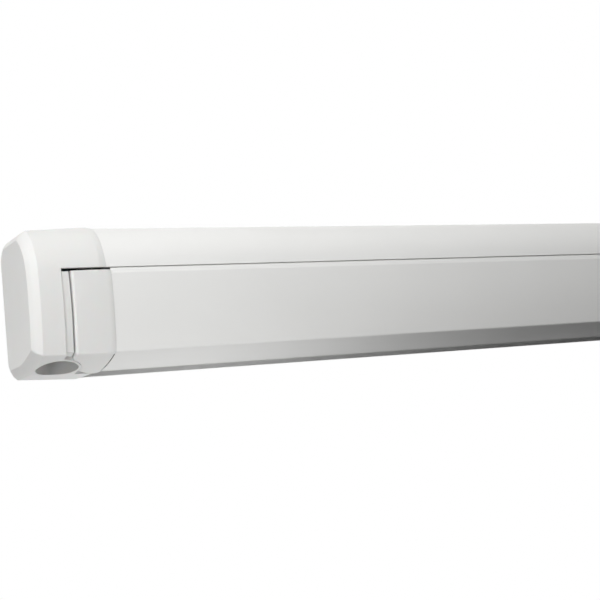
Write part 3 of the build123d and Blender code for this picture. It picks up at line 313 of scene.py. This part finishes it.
def edge_group():
    """Normals of a slightly rounded edge, and a broken mask of wear along it."""
    tree, given, handed = new_group("soft_edges", [("Radius", "Float")],
                                    [("Normal", "Vector"), ("Wear", "Float")])
    rounded = node(tree, "Bevel", {"Radius": given["Radius"]}, samples=edge_samples).outputs[0]
    flat = node(tree, "NewGeometry").outputs["Normal"]
    alike = node(tree, "VectorMath", {0: rounded, 1: flat}, operation="DOT_PRODUCT").outputs["Value"]
    edge = ramp(tree, alike, *wear_range)
    broken = ramp(tree, patches(tree, object_position(tree), wear_patch, wear_detail), *wear_broken)
    feed(tree, handed["Normal"], rounded)
    feed(tree, handed["Wear"], calc(tree, "MULTIPLY", edge, broken))
    return tree


def dust_group():
    """Dust that settles on what faces up."""
    tree, given, handed = new_group("settled_dust", [("Amount", "Float")], [("Mask", "Float")])
    normal = node(tree, "NewGeometry").outputs["Normal"]
    height = node(tree, "SeparateXYZ", {0: normal}).outputs[2]
    upward = ramp(tree, height, *dust_slope)
    patchy = ramp(tree, patches(tree, object_position(tree), dust_patch, dust_detail), *dust_cover)
    laid = calc(tree, "MULTIPLY", upward, patchy)
    feed(tree, handed["Mask"], calc(tree, "MULTIPLY", laid, given["Amount"]))
    return tree


def drawn_group():
    """Fine lines along X, as drawing or brushing leaves them."""
    tree, given, handed = new_group("drawn_lines", [("Pitch", "Float")],
                                    [("Height", "Float"), ("Tone", "Float")])
    parts = node(tree, "SeparateXYZ", {0: object_position(tree)}).outputs
    along = calc(tree, "MULTIPLY", parts[0], drawn_stretch)
    stretched = node(tree, "CombineXYZ", {0: along, 1: parts[1], 2: parts[2]}).outputs[0]
    lines = shading_noise(tree, stretched, calc(tree, "DIVIDE", 1.0, given["Pitch"]), drawn_detail)
    feed(tree, handed["Height"], lines)
    feed(tree, handed["Tone"], ramp(tree, lines, *soft_range))
    return tree


def weave_group():
    """Plain weave from a flat position in metres: thread height and which thread lies on top."""
    tree, given, handed = new_group("plain_weave", [("Position", "Vector"), ("Thread", "Float")],
                                    [("Height", "Float"), ("Over", "Float")])
    parts = node(tree, "SeparateXYZ", {0: given["Position"]}).outputs
    turn = calc(tree, "DIVIDE", math.pi, given["Thread"])
    phase = [calc(tree, "MULTIPLY", parts[axis], turn) for axis in (0, 1)]
    waves = [calc(tree, "SINE", angle) for angle in phase]
    rounds = [calc(tree, "ABSOLUTE", wave) for wave in waves]
    over = calc(tree, "GREATER_THAN", calc(tree, "MULTIPLY", waves[0], waves[1]), 0.0)
    height = node(tree, "Mix", {0: over, 2: rounds[0], 3: rounds[1]}, data_type="FLOAT").outputs[0]
    feed(tree, handed["Height"], height)
    feed(tree, handed["Over"], over)
    return tree


surface_grain = grain_group()
soft_edges = edge_group()
settled_dust = dust_group()
drawn_lines = drawn_group()
plain_weave = weave_group()


def new_material(name):
    """An empty material, its tree and its surface shader."""
    material = bpy.data.materials.new(name)
    material.use_nodes = True
    return material, material.node_tree, material.node_tree.nodes["Principled BSDF"]


def drifting_tone(tree, shader, texture, main, drift, roughness):
    """Colour that drifts slowly, with a gloss that drifts along."""
    feed(tree, shader.inputs["Roughness"], ramp(tree, texture["Drift"], 0.0, 1.0, *roughness))
    return tint(tree, texture["Drift"], colour(main), colour(drift))


def dusted(tree, tone, amount):
    """A colour with dust laid over it."""
    laid = placed(tree, settled_dust, Amount=amount)
    return tint(tree, laid["Mask"], tone, colour(dust_tone))


def hard_surface(name, main, drift, roughness, grain, depth, edge, worn=None, dust=0.0,
                 metallic=0.0, specular=plain_specular, subsurface=0.0):
    """A hard surface with colour drift, grain and soft edges, and with wear and dust where it has them."""
    material, tree, shader = new_material(name)
    texture = placed(tree, surface_grain, Fine=1.0 / grain)
    edges = placed(tree, soft_edges, Radius=edge)
    tone = drifting_tone(tree, shader, texture, main, drift, roughness)
    if worn:
        tone = tint(tree, edges["Wear"], tone, colour(worn))
    if dust:
        tone = dusted(tree, tone, dust)
    bump = node(tree, "Bump", {"Strength": 1.0, "Distance": depth, "Height": texture["Height"],
                               "Normal": edges["Normal"]})
    feed(tree, shader.inputs["Base Color"], tone)
    feed(tree, shader.inputs["Normal"], bump.outputs[0])
    feed(tree, shader.inputs["Metallic"], metallic)
    feed(tree, shader.inputs["Specular IOR Level"], specular)
    feed(tree, shader.inputs["Subsurface Weight"], subsurface)
    feed(tree, shader.inputs["Subsurface Scale"], subsurface_scale)
    return material


def drawn_surface(name, main, drift, roughness):
    """Aluminium with fine lines along its length."""
    material, tree, shader = new_material(name)
    tone = drifting_tone(tree, shader, placed(tree, surface_grain), main, drift, roughness)
    tone = dusted(tree, tone, drawn_dust)
    lines = placed(tree, drawn_lines, Pitch=drawn_pitch)
    tone = tint(tree, calc(tree, "MULTIPLY", lines["Tone"], drawn_share), tone, colour(drawn_tone))
    bump = node(tree, "Bump", {"Strength": drawn_strength, "Distance": drawn_depth,
                               "Height": lines["Height"]})
    feed(tree, shader.inputs["Base Color"], tone)
    feed(tree, shader.inputs["Normal"], bump.outputs[0])
    feed(tree, shader.inputs["Metallic"], 1.0)
    return material


def awning_cloth(name, place):
    """Grey coated cloth in plain weave, with a sewn hem along both sides."""
    material, tree, shader = new_material(name)
    position = node(tree, "TexCoord").outputs[place]
    weave = placed(tree, plain_weave, Position=position, Thread=thread_pitch)
    slow = ramp(tree, patches(tree, position, cloth_patch, cloth_patch_detail), *soft_range)
    tone = tint(tree, slow, *(colour(tone) for tone in cloth_tones))
    tone = tint(tree, calc(tree, "MULTIPLY", weave["Over"], thread_share), tone, colour(thread_tone))
    parts = node(tree, "SeparateXYZ", {0: position}).outputs
    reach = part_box("fabric_span")[1].x
    from_edge = calc(tree, "SUBTRACT", reach, calc(tree, "ABSOLUTE", parts[0]))
    hem = calc(tree, "LESS_THAN", from_edge, side_hem_width)
    tone = tint(tree, calc(tree, "MULTIPLY", hem, side_hem_share), tone, colour(side_hem_tone))
    from_seam = calc(tree, "ABSOLUTE", calc(tree, "SUBTRACT", from_edge, side_hem_width - stitch_inset))
    on_seam = calc(tree, "LESS_THAN", from_seam, stitch_half_width)
    dashes = calc(tree, "SINE", calc(tree, "MULTIPLY", parts[1], 2 * math.pi / stitch_length))
    stitch = calc(tree, "MULTIPLY", on_seam, calc(tree, "GREATER_THAN", dashes, stitch_level))
    tone = tint(tree, stitch, tone, colour(stitch_tone))
    bump = node(tree, "Bump", {"Strength": cloth_relief_strength, "Distance": cloth_relief,
                               "Height": weave["Height"]})
    feed(tree, shader.inputs["Base Color"], tone)
    feed(tree, shader.inputs["Normal"], bump.outputs[0])
    feed(tree, shader.inputs["Roughness"], ramp(tree, slow, 0.0, 1.0, *cloth_roughness))
    feed(tree, shader.inputs["Sheen Weight"], cloth_sheen)
    return material


wound_cloth = awning_cloth("wound_cloth", "UV")
free_cloth = awning_cloth("free_cloth", "Object")


def finish_nodes():
    """Gives every solid of the frame the finish of its slot in the record."""
    finishes = {slot: hard_surface(**look) for slot, look in hard_looks.items()}
    finishes.update({slot: drawn_surface(**look) for slot, look in drawn_looks.items()})
    finishes["awning_fabric"] = free_cloth
    for part in frame["record"]["subparts"]:
        piece = frame["nodes"][part["node"]]
        piece.data.materials.clear()
        piece.data.materials.append(finishes[part["material_slot"]])


def smooth_tree():
    """Modifier tree that joins the loose faces and shades rounds smooth, with sharp edges kept."""
    tree = bpy.data.node_groups.new("smooth_rounds", "GeometryNodeTree")
    for in_out in ("INPUT", "OUTPUT"):
        tree.interface.new_socket("Geometry", in_out=in_out, socket_type="NodeSocketGeometry")
    start = tree.nodes.new("NodeGroupInput")
    joined = tree.nodes.new("GeometryNodeMergeByDistance")
    joined.inputs["Distance"].default_value = weld_distance
    bare = tree.nodes.new("GeometryNodeRemoveAttribute")
    bare.inputs["Name"].default_value = "custom_normal"
    faces = tree.nodes.new("GeometryNodeSetShadeSmooth")
    edges = tree.nodes.new("GeometryNodeSetShadeSmooth")
    edges.domain = "EDGE"
    sharp = tree.nodes.new("GeometryNodeSetShadeSmooth")
    sharp.domain = "EDGE"
    sharp.inputs["Shade Smooth"].default_value = False
    bend = tree.nodes.new("GeometryNodeInputMeshEdgeAngle")
    steep = tree.nodes.new("FunctionNodeCompare")
    steep.operation = "GREATER_THAN"
    steep.inputs[1].default_value = cap_smooth_angle
    end = tree.nodes.new("NodeGroupOutput")
    tree.links.new(bend.outputs[0], steep.inputs[0])
    tree.links.new(steep.outputs[0], sharp.inputs["Selection"])
    chain = [start, joined, bare, faces, edges, sharp, end]
    for first, second in zip(chain, chain[1:]):
        tree.links.new(first.outputs[0], second.inputs[0])
    return tree


def smooth_caps():
    """Shades the moulded caps smooth over their rims."""
    tree = smooth_tree()
    for name in ("left_case_end_cap", "right_case_end_cap", "left_rail_end_cap", "right_rail_end_cap"):
        piece = frame["nodes"][name]
        piece.modifiers.new("smooth_rounds", "NODES").node_group = tree
        piece.modifiers.new("even_normals", "WEIGHTED_NORMAL").keep_sharp = True


def new_piece(name, mesh, material):
    """A piece in the scene, from a finished mesh."""
    data = bpy.data.meshes.new(name)
    mesh.to_mesh(data)
    mesh.free()
    piece = bpy.data.objects.new(name, data)
    bpy.context.scene.collection.objects.link(piece)
    data.materials.append(material)
    data.shade_smooth()
    return piece


def cloth_band(path, reach):
    """A band of cloth along a path of (y, z) points, with its flat lengths as UV."""
    band = bmesh.new()
    uv = band.loops.layers.uv.new("cloth")
    first, second = (band.verts.new((x, *path[0])) for x in (-reach, reach))
    edge = band.edges.new((first, second))
    run = 0.0
    for here, there in zip(path, path[1:]):
        step = Vector(there) - Vector(here)
        made = bmesh.ops.extrude_edge_only(band, edges=[edge])["geom"]
        verts = [part for part in made if isinstance(part, bmesh.types.BMVert)]
        bmesh.ops.translate(band, verts=verts, vec=(0.0, step.x, step.y))
        face = next(part for part in made if isinstance(part, bmesh.types.BMFace))
        for loop in face.loops:
            loop[uv].uv = (loop.vert.co.x, run + (step.length if loop.vert in verts else 0.0))
        run += step.length
        edge = next(part for part in made if isinstance(part, bmesh.types.BMEdge)
                    and all(vert in verts for vert in part.verts))
    bmesh.ops.recalc_face_normals(band, faces=band.faces)
    return band, run


def thicken(piece):
    """Gives a cloth its thickness, half to each side."""
    wall = piece.modifiers.new("cloth_thickness", "SOLIDIFY")
    wall.thickness = cloth_thickness
    wall.offset = 0.0


def roll_sizes():
    """Centre, inner and outer radius of the wound fabric, and its half width."""
    low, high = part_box("fabric_roll")
    tube_low, tube_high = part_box("roller_tube")
    return (low + high) / 2, (tube_high.z - tube_low.z) / 2, (high.z - low.z) / 2, high.x


def hem_place():
    """Rear and front edge of the front hem, as (y, z) at the middle of its thickness."""
    low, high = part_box("fabric_hem")
    middle = (low.z + high.z) / 2
    return Vector((high.y, middle)), Vector((low.y, middle))


def leave_turn(radius):
    """Angle round the roll at which cloth at that radius leaves for the hem, from -Y upwards."""
    centre = roll_sizes()[0]
    rear = hem_place()[0]
    away = Vector((centre.y - rear.x, rear.y - centre.z))
    return math.atan2(away.y, away.x) + math.acos(radius / away.length)


def on_roll(radius, turn):
    """A (y, z) point round the roll."""
    centre = roll_sizes()[0]
    return (centre.y - radius * math.cos(turn), centre.z + radius * math.sin(turn))


def wound_fabric():
    """Fabric wound on the roller tube, as one unbroken spiral."""
    inner, outer, reach = roll_sizes()[1:]
    start, end = inner + turn_pitch / 2, outer - turn_pitch / 2
    turns = round((end - start) / turn_pitch)
    steps = turns * steps_per_turn
    last = leave_turn(outer)
    path = []
    for step in range(steps + 1):
        share = step / steps
        turn = last + 2 * math.pi * turns * (share - 1)
        path.append(on_roll(start + (end - start) * share, turn))
    band, length = cloth_band(path, reach)
    piece = new_piece("wound_fabric", band, wound_cloth)
    thicken(piece)
    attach(piece, "roller")
    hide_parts("fabric_roll")


def free_fabric(hem):
    """Fabric from the roll to the front hem."""
    outer = roll_sizes()[2]
    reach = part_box("fabric_span")[1].x
    radius = outer + wrap_gap + cloth_thickness / 2
    rear, front = hem_place()
    leave = leave_turn(radius)
    wrap = math.radians(wrap_degrees)
    path = [on_roll(radius, leave + wrap * (1 - step / wrap_steps)) for step in range(wrap_steps)]
    start = Vector(on_roll(radius, leave))
    path += [tuple(start.lerp(rear, step / free_steps)) for step in range(free_steps + 1)]
    path.append(tuple(front))
    band, length = cloth_band(path, reach)
    piece = new_piece("free_fabric", band, free_cloth)
    thicken(piece)
    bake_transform(piece)
    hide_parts("fabric_span")


def front_hem():
    """Folded and sewn front edge of the fabric."""
    low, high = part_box("fabric_hem")
    hem = bmesh.new()
    bmesh.ops.create_cube(hem, size=1.0)
    bmesh.ops.scale(hem, verts=hem.verts, vec=high - low)
    bmesh.ops.translate(hem, verts=hem.verts, vec=(low + high) / 2)
    bmesh.ops.bevel(hem, geom=hem.edges, offset=hem_round, segments=hem_round_steps,
                    profile=hem_round_profile, affect="EDGES", material=-1)
    piece = new_piece("front_hem", hem, free_cloth)
    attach(piece, "fabric_edge")
    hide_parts("fabric_hem")
    return piece


def white_to_camera(tree):
    """1 for what the camera sees directly, in gloss or through glass, otherwise 0."""
    path = node(tree, "LightPath").outputs
    seen = calc(tree, "MAXIMUM", path["Is Camera Ray"], path["Is Glossy Ray"])
    return calc(tree, "MAXIMUM", seen, path["Is Transmission Ray"])


def set_sky():
    """Soft light from above and none from below, with a white background."""
    world = bpy.data.worlds.new("studio")
    bpy.context.scene.world = world
    world.use_nodes = True
    tree = world.node_tree
    tree.nodes.clear()
    height = node(tree, "SeparateXYZ", {0: node(tree, "TexCoord").outputs["Generated"]}).outputs[2]
    strength = ramp(tree, height, *sky_turn, sky_from_below, sky_from_above)
    soft = node(tree, "Background", {"Color": colour(white), "Strength": strength})
    plain = node(tree, "Background", {"Color": colour(white), "Strength": 1.0})
    both = node(tree, "MixShader", {0: white_to_camera(tree), 1: soft.outputs[0], 2: plain.outputs[0]})
    out = node(tree, "OutputWorld")
    tree.links.new(both.outputs[0], out.inputs["Surface"])


def area_lamp(name, place, target, size, power):
    """A square soft lamp that the camera doesn't see."""
    data = bpy.data.lights.new(name, "AREA")
    data.size = size
    data.energy = power
    lamp = bpy.data.objects.new(name, data)
    lamp.location = place
    lamp.rotation_mode = "QUATERNION"
    lamp.rotation_quaternion = (Vector(target) - Vector(place)).to_track_quat("-Z", "Y")
    lamp.visible_camera = False
    bpy.context.scene.collection.objects.link(lamp)


def set_floor():
    """Pale floor well below the awning, where its legs stand when it is open."""
    disc = bmesh.new()
    bmesh.ops.create_circle(disc, cap_ends=True, radius=floor_radius, segments=floor_sides)
    bmesh.ops.translate(disc, verts=disc.verts, vec=(0.0, 0.0, floor_level))
    material, tree, shader = new_material("pale_floor")
    cloudy = ramp(tree, patches(tree, object_position(tree), floor_cloud, floor_cloud_detail), *soft_range)
    feed(tree, shader.inputs["Base Color"], tint(tree, cloudy, *(colour(tone) for tone in floor_tones)))
    feed(tree, shader.inputs["Roughness"], floor_roughness)
    glow = node(tree, "Emission", {"Strength": 1.0})
    share = calc(tree, "MULTIPLY", white_to_camera(tree), floor_glow)
    both = node(tree, "MixShader", {0: share, 1: shader.outputs[0], 2: glow.outputs[0]})
    tree.links.new(both.outputs[0], tree.nodes["Material Output"].inputs["Surface"])
    floor = new_piece("floor", disc, material)
    floor.visible_diffuse = False


def set_camera():
    """The photograph's camera."""
    data = bpy.data.cameras.new("photo_camera")
    data.lens = camera_lens
    data.sensor_width = camera_sensor
    camera = bpy.data.objects.new("photo_camera", data)
    back = camera_right.cross(camera_up).normalized()
    across = camera_up.cross(back).normalized()
    turned = Matrix((across, back.cross(across), back)).transposed().to_4x4()
    camera.matrix_world = Matrix.Translation(camera_place) @ turned
    bpy.context.scene.collection.objects.link(camera)
    bpy.context.scene.camera = camera


set_camera()
set_sky()
set_floor()
for lamp in lamps:
    area_lamp(*lamp)
bpy.context.scene.view_settings.view_transform = "Standard"

finish_nodes()
smooth_caps()
wound_fabric()
free_fabric(front_hem())
